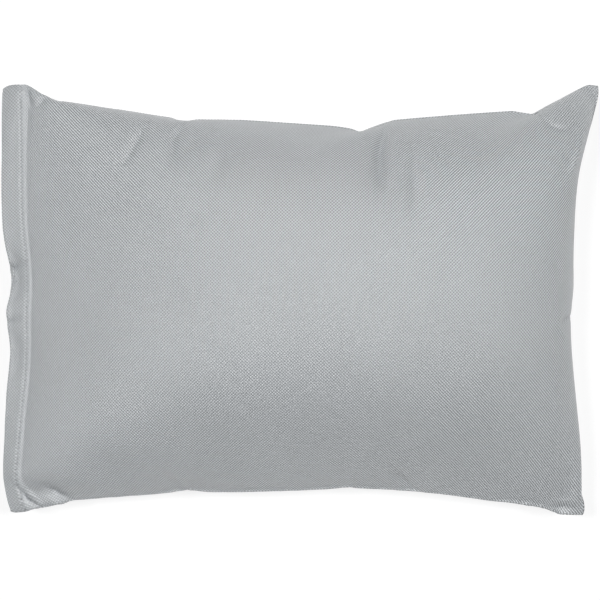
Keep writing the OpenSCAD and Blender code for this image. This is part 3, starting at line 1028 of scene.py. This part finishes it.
SIDE_STITCH = 3.0  # length of a stitch of the side seams
SIDE_ROW = 3.2  # from the cover's edge to the side seams' stitches
BIGHT = 3.0  # how far the overlock reaches into the cloth
BIGHT_PAST = 0.7  # how far it loops past the raw edge
BAG_EDGE = 1.12  # half the thickness of the bag's two plies at their edge
FINE = 0.2  # radius of the overlock threads
# Height of a lockstitch over the cloth along one stitch, as (share, height) pairs.
STITCH_SHAPE = [
    (0.03, -0.45), (0.12, -0.05), (0.24, 0.14), (0.5, 0.2), (0.76, 0.14), (0.88, -0.05), (0.97, -0.45),
]


def stitches(cover, side, start, end, height, radius, sides=6):
    """Single stitches between flat coordinates, at a height over the middle sheet."""

    def up(q):
        return side * cover.middle.normal(q[..., 0], q[..., 1])

    share, rise = np.array(STITCH_SHAPE).T
    q = start[:, None] + share[:, None] * (end - start)[:, None]
    face = cover.middle.at(q[..., 0], q[..., 1]) + (height + radius) * up(q)
    ups = np.repeat(up(0.5 * (start + end))[:, None], len(share), 1)
    return tubes(face + rise[:, None] * up(q), ups, radius, sides)


def closing_row(cover, side, radius):
    """Stitches of the closing row, on one panel's face, bar-tacked at both ends."""
    v = np.r_[HOLES[2], HOLES[1], HOLES, HOLES[-2], HOLES[-3]]
    flat = np.stack([flange_width(v), v], -1)
    start, end = flat[:-1].copy(), flat[1:].copy()
    for k in (0, 1, -1, -2):
        start[k, 0] += 0.5
        end[k, 0] += 0.5
    return stitches(cover, side, start, end, FLANGE_STACK - 0.45, radius)


def ring_path(inset, pitch):
    """Flat coordinates along the three turned seams, one point per stitch."""
    a, b = inset, CLOTH[1] - inset
    far = CLOTH[0] - inset
    legs = [[(4, a), (far, a)], [(far, a), (far, b)], [(far, b), (4, b)]]
    out = []
    for (u0, v0), (u1, v1) in legs:
        count = int(round(max(abs(u1 - u0), abs(v1 - v0)) / pitch))
        t = np.linspace(0, 1, count, endpoint=False)[:, None]
        out.append(np.array([[u0, v0]]) + t * np.array([[u1 - u0, v1 - v0]]))
    return np.concatenate(out + [np.array([[4.0, b]])])


def seam_row(cover, side, radius):
    """Lockstitch row along the turned seams, lying on the seam allowance."""
    q = ring_path(SIDE_ROW, SIDE_STITCH)
    return stitches(cover, side, q[:-1], q[1:], PLY_GAP + WALL, radius, 5)


def overlock(cover, path, inside, half, radius):
    """Thread wound round the raw edge of two plies along a flat path.

    path gives edge points, inside the direction into the cloth at each, and half is
    half the thickness of both plies.
    """
    share = np.linspace(0, 1, 9)
    turn = 2 * math.pi * share
    start, end = path[:-1, None], path[1:, None]
    q = start + share[:, None] * (end - start)
    across = (0.5 + 0.5 * np.cos(turn))[:, None] * BIGHT - BIGHT_PAST
    q = q + across * inside[:-1, None]
    up = cover.middle.normal(q[..., 0], q[..., 1])
    height = (half + radius) * np.sin(turn)
    p = cover.middle.at(q[..., 0], q[..., 1]) + height[:, None] * up
    ahead = cover.middle.at(end[..., 0], end[..., 1])
    ahead = ahead - cover.middle.at(start[..., 0], start[..., 1])
    return tubes(p, unit(np.repeat(ahead, len(share), 1)), radius, 5)


def allowance_overlock(cover):
    """Overlock that binds the two allowances of the turned seams."""
    q = ring_path(ALLOWANCE + 1.1, SIDE_STITCH)
    near = ALLOWANCE + 2
    du = 1.0 * (q[:, 0] > CLOTH[0] - near)
    dv = 1.0 * (q[:, 1] > CLOTH[1] - near) - 1.0 * (q[:, 1] < near)
    return overlock(cover, q, unit(np.stack([du, dv], -1)), PLY_GAP + WALL, FINE)


def bag_overlock(cover):
    """Overlock round the inner bag."""
    u, v, _ = bag_grid(BAG_INSET, *BAG_POINTS)
    ring = loop_indices(*u.shape)
    loop = np.stack([u, v], -1).reshape(-1, 2)[ring]
    loop = np.concatenate([loop, loop[:1]])
    run = np.r_[0, np.cumsum(np.linalg.norm(np.diff(loop, axis=0), axis=1))]
    at = np.linspace(0, run[-1], int(run[-1] / 3.5))
    q = np.stack([np.interp(at, run, loop[:, k]) for k in (0, 1)], 1)
    centre = np.array([0.5 * CLOTH[0] + 7, 0.5 * CLOTH[1]])
    t = unit(np.gradient(q, axis=0))
    inward = np.stack([-t[:, 1], t[:, 0]], -1)
    inward *= np.sign(((centre - q) * inward).sum(-1, keepdims=True))
    return overlock(cover, q, inward, BAG_EDGE, FINE)


def care_label(cover):
    """Blank folded label under the flange, caught by the closing row."""
    low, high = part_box("care_label")
    rows = np.linspace(0, CLOTH[1], CELLS[1] + 1)
    ends = np.interp([low[1] / MM, high[1] / MM], cover.middle.grid[1, 1:-1, 1], rows)
    v = np.linspace(*ends, 20)[None]
    w = flange_width(v)
    # both layers, from the row to the fold and back
    share = np.r_[np.linspace(0, 1, 12), np.linspace(1, 0, 12)][:, None]
    lower = np.r_[np.zeros(12), np.ones(12)][:, None]
    u = w - 0.3 - 0.84 * share * (w - 1.2)
    v = v + 0 * u
    drop = FLANGE_STACK + 0.25 + 2.0 * share**2 + 0.28 * (1 + 1.6 * share) * lower
    drop = drop + 0.25 * np.sin(v / 9) * share
    p = cover.middle.at(u, v) - drop[..., None] * cover.middle.normal(u, v)
    n, m = u.shape
    run = np.linspace(0, 24, n)[:, None] + 0 * u
    coords = np.stack([run, v - ends[0]], -1).reshape(-1, 2)
    points, faces = thickened(p.reshape(-1, 3), grid_faces(n, m), loop_indices(n, m), 0.16)
    return points, faces, np.concatenate([coords, coords])


# ---- stage


def white_floor():
    """A pale floor that glows a little."""
    m = Nodes("floor_white")
    m.shader.inputs["Base Color"].default_value = (0.25, 0.25, 0.25, 1)
    m.shader.inputs["Roughness"].default_value = 0.9
    m.shader.inputs["Specular IOR Level"].default_value = 0
    m.shader.inputs["Emission Color"].default_value = (1, 1, 1, 1)
    m.shader.inputs["Emission Strength"].default_value = 0.8
    size = 4.0
    mesh = bpy.data.meshes.new("floor")
    corners = [(-size, -size, 0), (size, -size, 0), (size, size, 0), (-size, size, 0)]
    mesh.from_pydata(corners, [], [(0, 1, 2, 3)])
    mesh.materials.append(m.material)
    floor = bpy.data.objects.new("floor", mesh)
    bpy.context.scene.collection.objects.link(floor)


def light(name, energy, tilt_y, tilt_x, spread):
    """A soft distant light from above, leaning by degrees along Y and X."""
    data = bpy.data.lights.new(name, "SUN")
    data.energy = energy
    data.angle = math.radians(spread)
    obj = bpy.data.objects.new(name, data)
    obj.rotation_euler = (-math.radians(tilt_y), math.radians(tilt_x), 0)
    bpy.context.scene.collection.objects.link(obj)


def overhead_camera():
    """Straight down from 2 m over the seam plane; 453 mm fill the picture there."""
    data = bpy.data.cameras.new("camera")
    data.sensor_width = 36
    data.lens = 36 * 2.0 / 0.453
    data.clip_end = 20
    data.dof.use_dof = False
    obj = bpy.data.objects.new("camera", data)
    obj.location = (0, 0, 2.055)
    bpy.context.scene.collection.objects.link(obj)
    bpy.context.scene.camera = obj


def backdrop_light():
    """Faint even light from all round."""
    world = bpy.data.worlds.new("studio")
    world.use_nodes = True
    back = world.node_tree.nodes["Background"]
    back.inputs[0].default_value = (1, 1, 1, 1)
    back.inputs[1].default_value = 0.04
    bpy.context.scene.world = world


overhead_camera()
white_floor()
light("key_left", 1.5, 7, -18, 10)
light("key_right", 1.5, 7, 18, 10)
backdrop_light()
bpy.context.scene.view_settings.view_transform = "Standard"

# ---- pillow

cover = Cover(stuffed_cover())
cloth = cover_material()
seam_thread = thread_material("seam_thread", tint(GREY, 1.1))
white_thread = thread_material("white_thread", (0.7, 0.7, 0.68))
bag_cloth = nonwoven_material()

made = [
    ("front_panel", *panel_mesh(cover, 1), cloth, "cover"),
    ("back_panel", *panel_mesh(cover, -1), cloth, "cover"),
    ("side_seam_needle_thread", *seam_row(cover, 1, 0.22), seam_thread, "thread"),
    ("side_seam_bobbin_thread", *seam_row(cover, -1, 0.22), seam_thread, "thread"),
    ("overlock_thread", *allowance_overlock(cover), seam_thread, "thread"),
    ("closing_needle_thread", *closing_row(cover, 1, 0.3), seam_thread, "thread"),
    ("closing_bobbin_thread", *closing_row(cover, -1, 0.3), seam_thread, "thread"),
    ("inner_bag_front", *bag_mesh(cover, 1), bag_cloth, "inner_bag"),
    ("inner_bag_back", *bag_mesh(cover, -1), bag_cloth, "inner_bag"),
    ("inner_bag_thread", *bag_overlock(cover), white_thread, "thread"),
    ("fibre_fill", *fill_mesh(cover), fibre_material(), "fill"),
    ("care_label", *care_label(cover), label_material(), "label"),
]
for node, points, faces, coords, material, slot in made:
    piece = add_piece("soft_" + node, points, faces, coords, material)
    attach(piece, "root")
    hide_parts(node)
